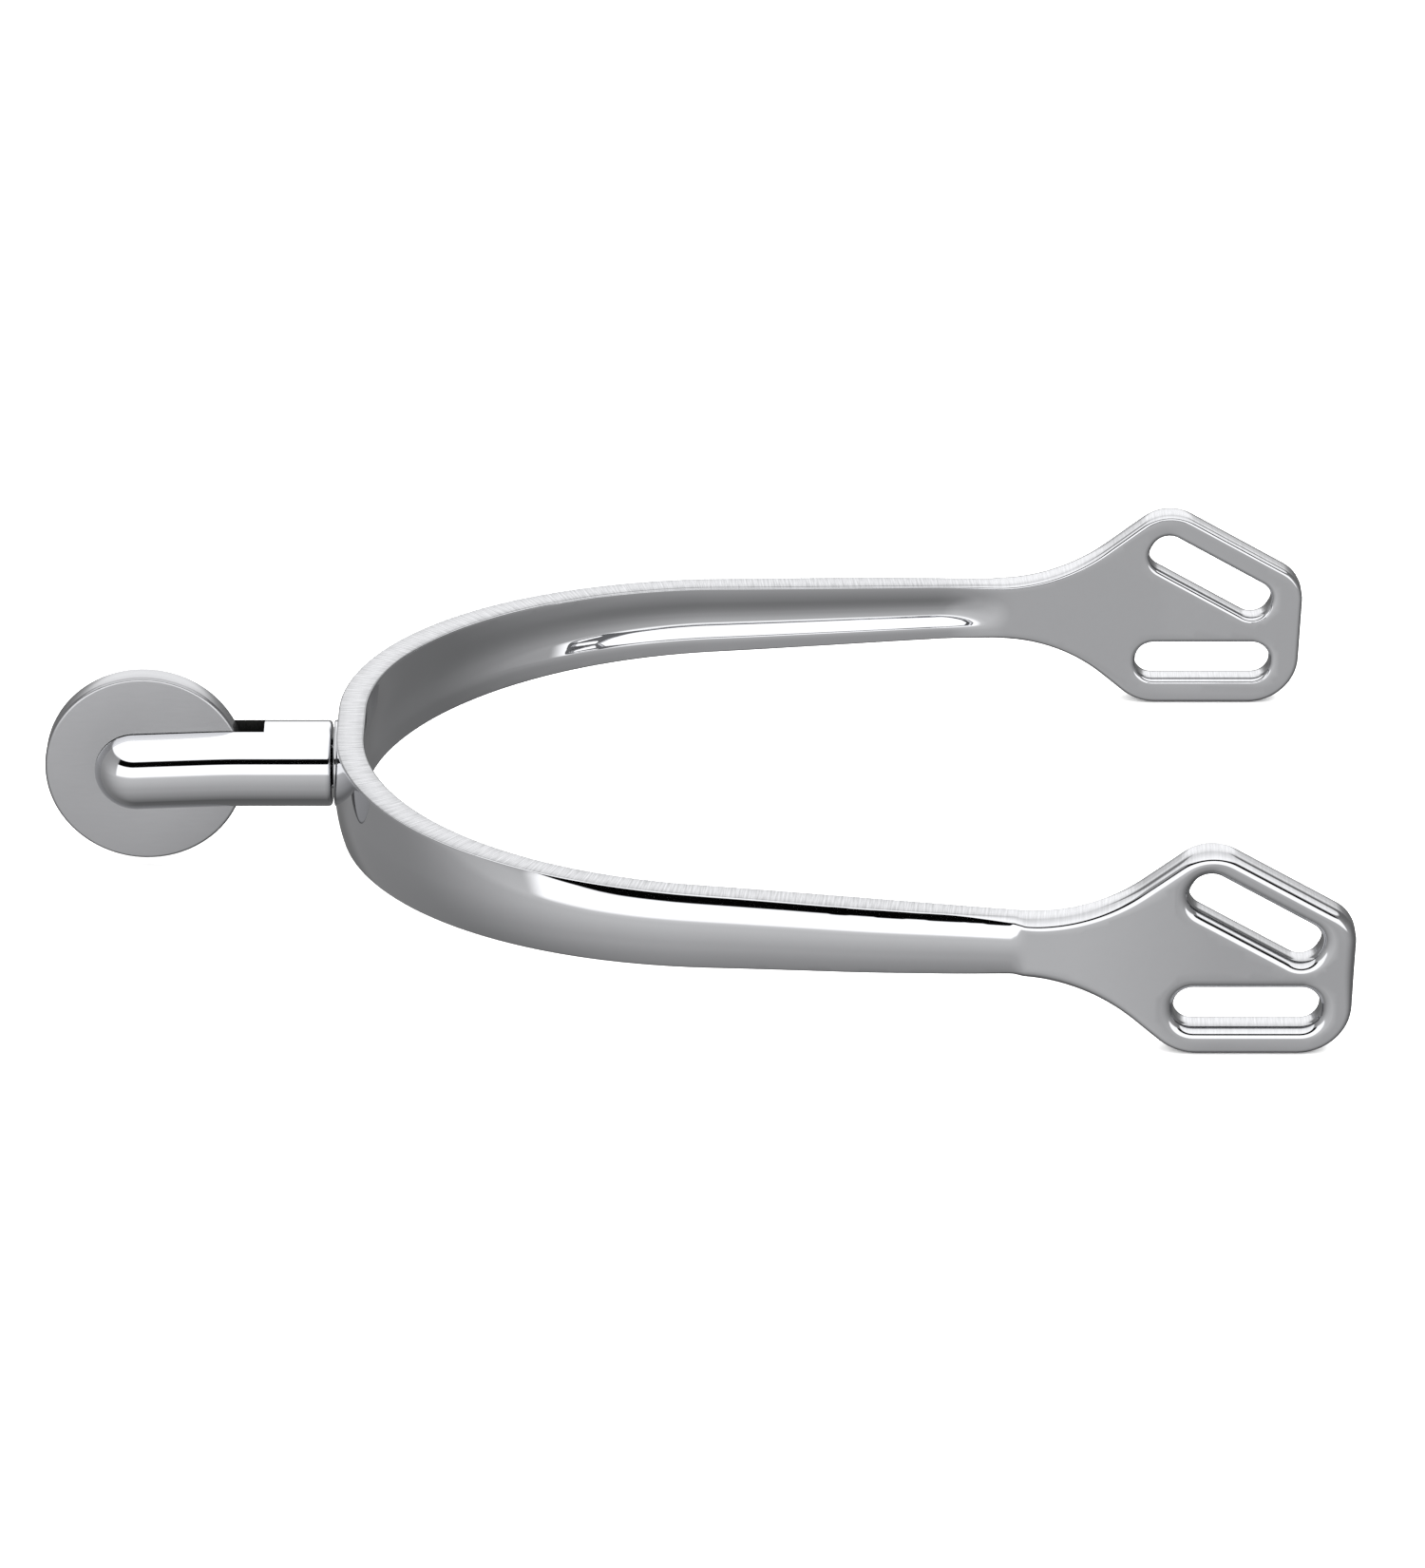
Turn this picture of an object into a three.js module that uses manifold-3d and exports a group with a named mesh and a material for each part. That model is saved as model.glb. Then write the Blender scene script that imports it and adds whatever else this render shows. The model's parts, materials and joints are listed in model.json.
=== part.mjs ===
// Horse-riding spur with a smooth rolling disc, in millimetres.
// A U-shaped heel band goes round the back of the boot. Its two arms end in flat plates with
// slots for the spur straps, and a short forked neck at the heel carries the disc on a cross pin.
// +X runs from the heel to the plates, +Z is up, and the part is the same on both sides of Y = 0.
// The origin is the middle of the underside of the whole part. The plates stand on Z = 0.
import * as THREE from "three";
import { mergeVertices } from "three/addons/utils/BufferGeometryUtils.js";
import Module from "manifold-3d";

// --- Heel band, seen from above -------------------------------------------------------------
const BAND_LENGTH = 99.6; // from the neck's seat to the plates' front ends
const BAND_THICKNESS = 3.1;
const PLATE_HALF_SPAN = 39.65; // from Y = 0 to the middle of a plate's thickness
const BEND_DEPTH = 36.2; // from the middle of the heel to where the arms begin
const ARM_HALF_SPAN = 35.88; // from Y = 0 to the middle of an arm where it begins
const ARM_SPLAY_DEG = 5; // how far each arm opens where it begins
const HEEL_HALF_FLAT = 3; // half the flat that the neck's boss stands on
const HEEL_HANDLE = 15.2; // how slowly the heel turns away from that flat
const BEND_HANDLE = 23.1; // how early the bend runs into the line of the arm
const PLATE_STRAIGHT = 13.8; // length of each plate that runs straight along X

// --- Heel band, seen from the side. Heights are from the neck's axis -------------------------
const HEEL_TOP_RIM = 0.325; // how far the heel stands over the neck that it carries
const HEEL_BOTTOM_RIM = 1.0; // and how far it hangs under it
const ARM_TOP = 2.25; // just before the plate
const ARM_BOTTOM = -3.45;
const ARM_BOW = 0.13; // rise of the arm's top edge over a straight line
const CROWN = 0.55; // how far the outer face bulges between its edges, over the heel's height
const HOLLOW = 0.5; // how far the inner face is scooped out
const HOLLOW_END = 31.5; // how far short of the plates' ends crown and hollow stop

// --- Strap plates ------------------------------------------------------------------------------
const PLATE_BOTTOM = -11.35;
const PLATE_PEAK = 11; // height at which the two upper edges would meet
const PEAK_SETBACK = 14.4; // how far that corner is behind the plate's front end
const FOOT_SETBACK = 17.2; // the same for the rear corner of the flat underside
const END_RAKE = 0.5; // how much shorter the plate is at its foot
const RISE_DEG = 37.6; // slope of the edge that climbs from the arm
const FALL_DEG = 30.2; // slope of the long upper edge and of the slot beside it
const FOOT_RISE_DEG = 41; // slope of the edge under the arm
const FLARE_RADIUS = 18; // inside curves where the arm spreads
const PEAK_RADIUS = 4.5;
const END_TOP_RADIUS = 4;
const END_FOOT_RADIUS = 5.2;
const FOOT_RADIUS = 5.6;

const SLOT_LENGTH = 14.1;
const SLOT_WIDTH = 4.1;
const SLOT_CORNER = 1.9;
const UPPER_RIM = 2.5; // wall between the upper slot and the sloping edge
const LOWER_RIM = 2.75; // wall under the lower slot
const UPPER_SLOT_SETBACK = 8.65; // from the slope's front corner to the slot's middle, along the slope
const LOWER_SLOT_SETBACK = 10.4; // from the plate's front end to the slot's middle

// --- Neck, rowel and their pins --------------------------------------------------------------------
const NECK_DIAMETER = 8.65;
const NECK_ROOT = 6.75; // solid length, from the seat to the bottom of the fork's slot
const NECK_EDGE = 0.4; // rounding of the neck's seat end
const BOSS_HEIGHT = 0.1; // the seat stands this far off the band's outer face
const BOSS_FILLET = 0.5;
const NOSE_DROOP_DEG = 2.2; // the forked end hangs down a little
const NOSE_START = 10.45; // from the seat to where the nose bends down

const ROWEL_DIAMETER = 20;
const ROWEL_THICKNESS = 2.5;
const ROWEL_EDGE = 0.35; // rounding of the disc's rim
const ROWEL_SETBACK = 5.25; // from the neck's tip to the rowel's middle
const ROWEL_RISE = 0.25; // the rowel's middle is this far over the nose's axis
const ROWEL_PIN_DIAMETER = 3;

const STUD_DIAMETER = 5;
const STUD_IN_NECK = 4.6;
const STUD_BLIND_WALL = 0.5; // left between the stud's hole and the band's hollowed inner face
const STUD_CHAMFER = 0.4;

// --- Clearances ----------------------------------------------------------------------------------
const SEAT_GAP = 0.2; // between the neck's end and the boss
const FORK_SIDE_GAP = 0.15; // on each side of the rowel
const FORK_END_GAP = 2.05; // between the rowel's rim and the bottom of the fork's slot
const ROWEL_BORE_GAP = 0.1; // round the pin, so that the rowel spins
const FIXED_FIT_GAP = 0.05; // round a pin or stud that is fixed
const STUD_END_GAP = 0.2;
const FLUSH_CUT = 0.03; // a pin end is ground this far below the neck's surface

// --- Fineness ------------------------------------------------------------------------------------
const ARC_STEPS = 4; // pieces in a corner or fillet
const BEND_STEPS = 46; // pieces in the band from one arm's end to the other
const PLATE_STEPS = 8;
const ROUND_STEPS = 40; // sides of a neck or pin
const ROWEL_STEPS = 72;
const OVERCUT = 1; // how far a cutter runs past what it cuts

// --- Places worked out from the sizes ----------------------------------------------------------
const radians = THREE.MathUtils.degToRad;
const slopeOf = (degrees) => Math.tan(radians(degrees));
const heelX = BOSS_HEIGHT + BAND_THICKNESS / 2; // middle of the band's thickness at the heel
const armX = heelX + BEND_DEPTH;
const plateX = BAND_LENGTH - PLATE_STRAIGHT;
const hollowEndX = BAND_LENGTH - HOLLOW_END;
const plateOuterY = PLATE_HALF_SPAN + BAND_THICKNESS / 2;

const neckRadius = NECK_DIAMETER / 2;
const heelTop = neckRadius + HEEL_TOP_RIM;
const heelBottom = -neckRadius - HEEL_BOTTOM_RIM;
const neckBase = -SEAT_GAP;
const bendX = neckBase - NOSE_START;
const droop = radians(NOSE_DROOP_DEG);
const forkBottomX = neckBase - NECK_ROOT;
const rowelX = forkBottomX - FORK_END_GAP - ROWEL_DIAMETER / 2;
const rowelAlongNose = (bendX - rowelX - ROWEL_RISE * Math.sin(droop)) / Math.cos(droop);
const noseLength = rowelAlongNose + ROWEL_SETBACK;
const rowelZ = ROWEL_RISE * Math.cos(droop) - rowelAlongNose * Math.sin(droop);
const rowelCentre = new THREE.Vector3(rowelX, 0, rowelZ);
const studHoleRadius = STUD_DIAMETER / 2 + FIXED_FIT_GAP;
const bandHoleDepth = BOSS_HEIGHT + BAND_THICKNESS - HOLLOW - STUD_BLIND_WALL;
const neckHoleDepth = STUD_IN_NECK + STUD_END_GAP;

const wasm = await Module();
wasm.setup();

// A closed three.js geometry as a solid that can be joined and cut.
function solid(geometry) {
  const bare = geometry.clone();
  bare.deleteAttribute("normal");
  bare.deleteAttribute("uv");
  const merged = mergeVertices(bare, 1e-4);
  return new wasm.Manifold(
    new wasm.Mesh({
      numProp: 3,
      vertProperties: merged.attributes.position.array,
      triVerts: new Uint32Array(merged.index.array),
    }),
  );
}

function geometryOf(made) {
  const { vertProperties, triVerts } = made.getMesh();
  const geometry = new THREE.BufferGeometry();
  geometry.setAttribute("position", new THREE.BufferAttribute(vertProperties, 3));
  geometry.setIndex(new THREE.BufferAttribute(triVerts, 1));
  geometry.computeVertexNormals();
  return geometry;
}

// A closed outline with a true arc at each corner. Each corner is [x, y, radius], and the
// corners run anticlockwise.
function roundedShape(corners) {
  const shape = new THREE.Shape();
  corners.forEach(([x, y, radius], i) => {
    const corner = new THREE.Vector2(x, y);
    const last = corners.at(i - 1);
    const next = corners[(i + 1) % corners.length];
    const back = new THREE.Vector2(last[0], last[1]).sub(corner).normalize();
    const ahead = new THREE.Vector2(next[0], next[1]).sub(corner).normalize();
    const halfAngle = Math.acos(THREE.MathUtils.clamp(back.dot(ahead), -1, 1)) / 2;
    const toCentre = radius / Math.sin(halfAngle);
    const centre = back.clone().add(ahead).normalize().multiplyScalar(toCentre).add(corner);
    const reach = radius / Math.tan(halfAngle);
    const start = back.multiplyScalar(reach).add(corner).sub(centre);
    const end = ahead.multiplyScalar(reach).add(corner).sub(centre);
    const turnsRight = start.cross(end) < 0;
    shape.absarc(centre.x, centre.y, radius, start.angle(), end.angle(), turnsRight);
  });
  shape.closePath();
  return shape;
}

// An outline drawn in X and Z, given a width that is centred on Y = 0.
function slab(shape, width) {
  const geometry = new THREE.ExtrudeGeometry(shape, {
    depth: width,
    bevelEnabled: false,
    curveSegments: ARC_STEPS,
  });
  return solid(geometry.rotateX(Math.PI / 2).translate(0, width / 2, 0));
}

// A round solid about the X axis from a profile of [distance along -X, radius] points that
// starts and ends on the axis.
function turned(profile, steps = ROUND_STEPS) {
  const points = profile.map(([along, radius]) => new THREE.Vector2(radius, along));
  return solid(new THREE.LatheGeometry(points, steps).rotateZ(Math.PI / 2));
}

// The points of a quarter round in a turned profile, from one place to another.
function quarterRound(along, radius, size, fromDeg, toDeg) {
  return Array.from({ length: ARC_STEPS + 1 }, (_, i) => {
    const angle = radians(THREE.MathUtils.lerp(fromDeg, toDeg, i / ARC_STEPS));
    return [along + size * Math.sin(angle), radius + size * Math.cos(angle)];
  });
}

// --- Heel band -----------------------------------------------------------------------------------
// The band's centre line on one side, seen from above, as curves from the heel to the plate.
function armCurves(side) {
  const at = (x, y) => new THREE.Vector3(x, side * y, 0);
  const splay = radians(ARM_SPLAY_DEG);
  const backAlongArm = (reach) =>
    at(armX - reach * Math.cos(splay), ARM_HALF_SPAN - reach * Math.sin(splay));
  const easing = (plateX - armX) / 3;
  const heelEnd = at(heelX, HEEL_HALF_FLAT);
  const armStart = at(armX, ARM_HALF_SPAN);
  const plateStart = at(plateX, PLATE_HALF_SPAN);
  return {
    heel: [at(heelX, 0), heelEnd],
    bend: [heelEnd, at(heelX, HEEL_HALF_FLAT + HEEL_HANDLE), backAlongArm(BEND_HANDLE), armStart],
    arm: [armStart, backAlongArm(-easing), at(plateX - easing, PLATE_HALF_SPAN), plateStart],
    plate: [plateStart, at(BAND_LENGTH + OVERCUT, PLATE_HALF_SPAN)],
  };
}

function pathOf(pieces) {
  const path = new THREE.CurvePath();
  for (const points of pieces) {
    const Curve = points.length === 4 ? THREE.CubicBezierCurve3 : THREE.LineCurve3;
    path.add(new Curve(...points));
  }
  return path;
}

// The band's cross-section: height across, thickness up, with the outer face on top.
function section(halfHeight, crown, hollow) {
  const inner = -BAND_THICKNESS / 2;
  const outer = BAND_THICKNESS / 2 - crown;
  return new THREE.Shape()
    .moveTo(-halfHeight, inner)
    .quadraticCurveTo(0, inner + 2 * hollow, halfHeight, inner)
    .lineTo(halfHeight, outer)
    .quadraticCurveTo(0, outer + 2 * crown, -halfHeight, outer)
    .closePath();
}

function swept(shape, path, steps) {
  return solid(
    new THREE.ExtrudeGeometry(shape, { extrudePath: path, steps, curveSegments: 2 * ARC_STEPS }),
  );
}

// The band and its plates seen from the side.
function sideOutline() {
  const peakX = BAND_LENGTH - PEAK_SETBACK;
  const footX = BAND_LENGTH - FOOT_SETBACK;
  return roundedShape([
    [-OVERCUT, heelBottom, 0],
    [footX - (ARM_BOTTOM - PLATE_BOTTOM) / slopeOf(FOOT_RISE_DEG), ARM_BOTTOM, FLARE_RADIUS],
    [footX, PLATE_BOTTOM, FOOT_RADIUS],
    [BAND_LENGTH - END_RAKE, PLATE_BOTTOM, END_FOOT_RADIUS],
    [BAND_LENGTH, PLATE_PEAK - PEAK_SETBACK * slopeOf(FALL_DEG), END_TOP_RADIUS],
    [peakX, PLATE_PEAK, PEAK_RADIUS],
    [peakX - (PLATE_PEAK - ARM_TOP) / slopeOf(RISE_DEG), ARM_TOP, FLARE_RADIUS],
    [armX, (heelTop + ARM_TOP) / 2 + ARM_BOW, 0],
    [-OVERCUT, heelTop, 0],
  ]);
}

function slotShape() {
  const [x, z] = [SLOT_LENGTH / 2, SLOT_WIDTH / 2];
  return roundedShape([
    [-x, -z, SLOT_CORNER],
    [x, -z, SLOT_CORNER],
    [x, z, SLOT_CORNER],
    [-x, z, SLOT_CORNER],
  ]);
}

function upperSlot(width) {
  const fall = radians(FALL_DEG);
  const cornerZ = PLATE_PEAK - PEAK_SETBACK * Math.tan(fall);
  const below = UPPER_RIM + SLOT_WIDTH / 2;
  return slab(slotShape(), width)
    .rotate([0, FALL_DEG, 0])
    .translate([
      BAND_LENGTH - UPPER_SLOT_SETBACK * Math.cos(fall) - below * Math.sin(fall),
      0,
      cornerZ + UPPER_SLOT_SETBACK * Math.sin(fall) - below * Math.cos(fall),
    ]);
}

function lowerSlot(width) {
  const z = PLATE_BOTTOM + LOWER_RIM + SLOT_WIDTH / 2;
  return slab(slotShape(), width).translate([BAND_LENGTH - LOWER_SLOT_SETBACK, 0, z]);
}

function heelBand() {
  const right = armCurves(-1);
  const left = armCurves(1);
  const reversed = (points) => points.toReversed();
  const width = 2 * (plateOuterY + OVERCUT);
  const inFront = new THREE.BoxGeometry(2 * BAND_LENGTH, width, width);
  const plateEnd = solid(inFront.translate(hollowEndX + BAND_LENGTH, 0, 0));

  const wholePath = pathOf([
    ...[right.plate, right.arm, right.bend, right.heel].map(reversed),
    ...[left.heel, left.bend, left.arm, left.plate],
  ]);
  const bar = swept(section(heelTop + OVERCUT, CROWN, HOLLOW), wholePath, BEND_STEPS);
  const plates = [right, left].map(({ arm, plate }) =>
    swept(section(PLATE_PEAK + OVERCUT, 0, 0), pathOf([arm, plate]), 2 * PLATE_STEPS),
  );
  const flats = plates[0].add(plates[1]).intersect(plateEnd);

  const boss = turned([
    [-BOSS_HEIGHT - BAND_THICKNESS / 2, 0],
    [-BOSS_HEIGHT - BAND_THICKNESS / 2, neckRadius + BOSS_FILLET],
    ...quarterRound(-BOSS_FILLET, neckRadius + BOSS_FILLET, -BOSS_FILLET, -90, 0).slice(1),
    [0, neckRadius],
    [0, 0],
  ]);
  const studHole = turned([
    [-bandHoleDepth, 0],
    [-bandHoleDepth, studHoleRadius],
    [OVERCUT, studHoleRadius],
    [OVERCUT, 0],
  ]);
  return bar
    .subtract(plateEnd)
    .add(flats)
    .add(boss)
    .intersect(slab(sideOutline(), width))
    .subtract(upperSlot(width))
    .subtract(lowerSlot(width))
    .subtract(studHole);
}

// --- Neck ----------------------------------------------------------------------------------------
// The round bar that the neck is cut from: a straight root, then the drooping nose with a ball end.
function neckBar(radius) {
  const root = turned([
    [-neckBase, 0],
    ...quarterRound(-neckBase + NECK_EDGE, radius - NECK_EDGE, NECK_EDGE, -90, 0),
    [-bendX + OVERCUT / 2, radius],
    [-bendX + OVERCUT / 2, 0],
  ]);
  const nose = turned([
    [0, 0],
    [0, radius],
    ...Array.from({ length: 2 * ARC_STEPS + 1 }, (_, i) => {
      const angle = (Math.PI / 2) * (i / (2 * ARC_STEPS));
      const straight = noseLength - neckRadius;
      return [straight + radius * Math.sin(angle), radius * Math.cos(angle)];
    }),
  ]);
  return root.add(nose.rotate([0, -NOSE_DROOP_DEG, 0]).translate([bendX, 0, 0]));
}

function crossPin(diameter, length) {
  const geometry = new THREE.CylinderGeometry(diameter / 2, diameter / 2, length, ROUND_STEPS / 2);
  return solid(geometry).translate(rowelCentre.toArray());
}

function neck() {
  const forkWidth = ROWEL_THICKNESS + 2 * FORK_SIDE_GAP;
  const forkLength = NOSE_START + noseLength;
  const cutter = new THREE.BoxGeometry(forkLength, forkWidth, 2 * NECK_DIAMETER);
  const forkSlot = solid(cutter.translate(forkBottomX - forkLength / 2, 0, 0));
  const studHole = turned([
    [-OVERCUT, 0],
    [-OVERCUT, studHoleRadius],
    [neckHoleDepth - neckBase, studHoleRadius],
    [neckHoleDepth - neckBase, 0],
  ]);
  const pinHole = crossPin(ROWEL_PIN_DIAMETER + 2 * FIXED_FIT_GAP, NECK_DIAMETER + OVERCUT);
  return neckBar(neckRadius).subtract(forkSlot).subtract(studHole).subtract(pinHole);
}

function neckStud() {
  const radius = STUD_DIAMETER / 2;
  const front = STUD_END_GAP - bandHoleDepth;
  const back = -neckBase + STUD_IN_NECK;
  return turned([
    [front, 0],
    [front, radius - STUD_CHAMFER],
    [front + STUD_CHAMFER, radius],
    [back - STUD_CHAMFER, radius],
    [back, radius - STUD_CHAMFER],
    [back, 0],
  ]);
}

// --- Rowel and its pin -----------------------------------------------------------------------------
function rowelPin() {
  const blank = crossPin(ROWEL_PIN_DIAMETER, NECK_DIAMETER + OVERCUT);
  return blank.intersect(neckBar(neckRadius - FLUSH_CUT));
}

// The disc is a closed ring profile turned about the pin.
function rowel() {
  const half = ROWEL_THICKNESS / 2;
  const rim = ROWEL_DIAMETER / 2;
  const bore = ROWEL_PIN_DIAMETER / 2 + ROWEL_BORE_GAP;
  const profile = [
    [-half, bore],
    ...quarterRound(-half + ROWEL_EDGE, rim - ROWEL_EDGE, ROWEL_EDGE, -90, 0),
    ...quarterRound(half - ROWEL_EDGE, rim - ROWEL_EDGE, ROWEL_EDGE, 0, 90),
    [half, bore],
    [-half, bore],
  ].map(([along, radius]) => new THREE.Vector2(radius, along));
  return new THREE.LatheGeometry(profile, ROWEL_STEPS);
}

// --- The spur ------------------------------------------------------------------------------------
const polishedSteel = { color: 0xcfd0d2, roughness: 0.12, metalness: 1 };
const satinSteel = { color: 0xa9abad, roughness: 0.34, metalness: 1 };

function part(name, geometry, finish) {
  const mesh = new THREE.Mesh(geometry, new THREE.MeshStandardMaterial(finish));
  mesh.name = name;
  return mesh;
}

const disc = part("rowel", rowel(), satinSteel);
disc.position.copy(rowelCentre);

const spur = new THREE.Group();
spur.add(
  part("heel_band", geometryOf(heelBand()), polishedSteel),
  part("neck", geometryOf(neck()), polishedSteel),
  part("neck_stud", geometryOf(neckStud()), satinSteel),
  part("rowel_pin", geometryOf(rowelPin()), polishedSteel),
  disc,
);
const box = new THREE.Box3().setFromObject(spur, true);
spur.position.set(-(box.min.x + box.max.x) / 2, 0, -box.min.z);

export default spur;
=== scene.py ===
"""A riding spur of polished stainless steel: a forged heel band with two slotted strap plates,
and a short forked neck that carries a smooth disc rowel. Sizes are in millimetres until MM turns
them into metres. X runs from the heel to the plates and Z is up."""

import json
import math

import bmesh
import bpy
import numpy as np
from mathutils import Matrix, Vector
from mathutils.geometry import delaunay_2d_cdt


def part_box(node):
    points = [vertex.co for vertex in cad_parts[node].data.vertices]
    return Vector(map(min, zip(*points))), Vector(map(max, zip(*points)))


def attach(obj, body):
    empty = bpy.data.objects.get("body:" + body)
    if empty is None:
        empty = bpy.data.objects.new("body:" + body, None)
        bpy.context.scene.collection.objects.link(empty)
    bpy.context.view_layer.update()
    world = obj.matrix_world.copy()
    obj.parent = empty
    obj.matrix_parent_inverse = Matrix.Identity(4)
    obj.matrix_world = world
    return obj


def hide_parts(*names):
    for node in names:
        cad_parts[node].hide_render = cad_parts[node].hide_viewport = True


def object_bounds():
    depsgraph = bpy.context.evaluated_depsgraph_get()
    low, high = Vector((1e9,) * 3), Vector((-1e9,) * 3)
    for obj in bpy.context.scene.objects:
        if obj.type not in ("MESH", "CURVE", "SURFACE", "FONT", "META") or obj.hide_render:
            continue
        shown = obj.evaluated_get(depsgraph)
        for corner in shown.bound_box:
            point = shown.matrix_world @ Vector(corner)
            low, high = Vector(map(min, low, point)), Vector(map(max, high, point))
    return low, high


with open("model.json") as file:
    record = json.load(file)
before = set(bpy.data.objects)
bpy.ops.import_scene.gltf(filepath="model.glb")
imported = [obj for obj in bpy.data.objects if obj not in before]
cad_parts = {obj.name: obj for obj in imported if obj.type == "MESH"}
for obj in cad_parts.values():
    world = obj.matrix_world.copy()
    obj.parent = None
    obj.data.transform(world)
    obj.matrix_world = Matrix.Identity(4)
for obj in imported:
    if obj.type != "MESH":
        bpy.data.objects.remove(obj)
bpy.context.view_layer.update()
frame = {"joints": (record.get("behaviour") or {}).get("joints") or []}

MM = 0.001

# --- Heel band ------------------------------------------------------------------------------------
# One forging in stainless steel. A flat blank with a strap plate at each end is crowned on the
# outside and hollowed on the inside, slotted, bent round the heel and mirror polished. Its edges
# are ground across by hand. The middle carries a low round boss that the neck is screwed against.

# Seen from above: round the heel, out along two splayed arms, into two straight plates.
BAND_LENGTH = 99.6
BAND_THICKNESS = 3.1
PLATE_STRAIGHT = 13.8
BEND_DEPTH = 36.2
ARM_HALF_SPAN = 35.88
ARM_SPLAY = math.radians(5)
HEEL_HALF_FLAT = 3.0
HEEL_HANDLE = 15.2
BEND_HANDLE = 23.1
PATH_SPARE = 1.0

# Seen from the side, above and below the neck's axis. Setbacks are from the front end. The two
# values of a pair are for the top and the foot.
HEEL_RIMS = (0.325, 1.0)
ARM_EDGES = (2.25, -3.45)
ARM_BOW = 0.13
ARM_BOW_RADIUS = 400
PLATE_PEAK = 11.0
PEAK_SETBACK = 14.4
FOOT_SETBACK = 17.2
END_RAKE = 0.5
RISE, FALL, FOOT_RISE = (math.tan(math.radians(slope)) for slope in (37.6, 30.2, 41))
FLARE_RADIUS = 18
PEAK_RADIUS = 4.5
END_RADII = (4.0, 5.2)
FOOT_RADIUS = 5.6

# Each slot's middle is given by its distance from the front end and the width of the rim beside it.
SLOT_SIZE = (14.1, 4.1)
SLOT_CORNER = 1.9
UPPER_SLOT = (8.65, 2.5)
LOWER_SLOT = (10.4, 2.75)

# The rounding of the edges, outside and inside. The plates' edges are eased less at the foot.
ARM_ROUNDINGS = (0.2, 0.25)
PLATE_ROUNDINGS = (1.1, 0.5)
FOOT_ROUNDINGS = (0.55, 0.5)
FOOT_TO_TOP = (-9, -2)
SLOT_ROUNDINGS = (1.2, 0.6)
PLATE_START = (60, 70)

# The crown and the hollow start beside the heel and run out at the plates. The arms stand proud of
# the plates' outer faces.
HEEL_EASE = 2
ARM_EASE = 8
ARM_PROUD = 0.45
PROUD_END = (50, 66)
HEEL_HOLLOW = 0.3
CROWN_END = 31.5
CROWN_FADE = 1.5
HOLLOW_FADE = 7

# Grinding marks, and a painted dark line of shade along the edges: how strong the painted line is at
# each step round an edge, and how much of the marks and of the line the plates keep.
PAINTED_EDGE_SHADE_LINE = (0.3, 1.0, 0.7, 0.2, 0.0, 0.0, 0.0)
PLATE_WEAR = 0.6
PLATE_PAINTED_EDGE_SHADE = 0.5

# How finely the faces are divided.
ROUNDING_STEPS = 6
WALL_STEPS = 3
EDGE_STEP = 0.5
ARC_DEGREES = 6
PROBE = 0.05
GRID_STEP = 0.55
GRID_ROWS = 25
GRID_REACH = 0.97
GRID_GAP = 0.3
LEAST_HALF = 0.01
CREASE = 35

# The boss, which keeps off the band's ground edges, and the blind hole for the stud. The stud's
# gaps are beside it and past its end. A cutting tool starts CUT_PAST outside the steel.
BOSS_HEIGHT = 0.1
BOSS_FILLET = 1.2
BOSS_EDGE = 0.12
BOSS_DEPTH = 2.4
BOSS_TRIM = 0.1
BOSS_SIDES = 128
STUD_GAPS = (0.05, 0.2)
CUT_PAST = 1
HOLE_SIDES = 64

band_low, band_high = (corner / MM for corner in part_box("heel_band"))
neck_low, neck_high = (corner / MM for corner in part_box("neck"))
stud_low, stud_high = (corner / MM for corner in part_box("neck_stud"))
neck_radius = (neck_high.y - neck_low.y) / 2
axis_z = neck_high.z - neck_radius
seat_x = band_low.x
plate_bottom = band_low.z - axis_z
plate_half_span = band_high.y - BAND_THICKNESS / 2
heel_x = BOSS_HEIGHT + BAND_THICKNESS / 2
arm_x = heel_x + BEND_DEPTH
plate_x = BAND_LENGTH - PLATE_STRAIGHT


def bezier(points, steps=240):
    """Points along a cubic curve, the first one left out."""
    a, b, c, d = (np.array(point, float) for point in points)
    t = np.linspace(0, 1, steps + 1)[1:, None]
    return a * (1 - t) ** 3 + 3 * b * t * (1 - t) ** 2 + 3 * c * t * t * (1 - t) + d * t**3


def band_path():
    """The middle of the band's thickness on the left side, seen from above, from the heel to a
    little past the front end."""
    heel_end = np.array((heel_x, HEEL_HALF_FLAT))
    arm_start = np.array((arm_x, ARM_HALF_SPAN))
    plate_start = np.array((plate_x, plate_half_span))
    along_arm = np.array((math.cos(ARM_SPLAY), math.sin(ARM_SPLAY)))
    easing = (plate_x - arm_x) / 3
    bend = (heel_end, heel_end + (0, HEEL_HANDLE), arm_start - BEND_HANDLE * along_arm, arm_start)
    arm = (arm_start, arm_start + easing * along_arm, plate_start - (easing, 0), plate_start)
    flat = np.linspace((heel_x, 0), heel_end, 8)
    plate = np.linspace(plate_start, plate_start + (PLATE_STRAIGHT + PATH_SPARE, 0), 30)[1:]
    return np.vstack((flat, bezier(bend), bezier(arm), plate))


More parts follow.
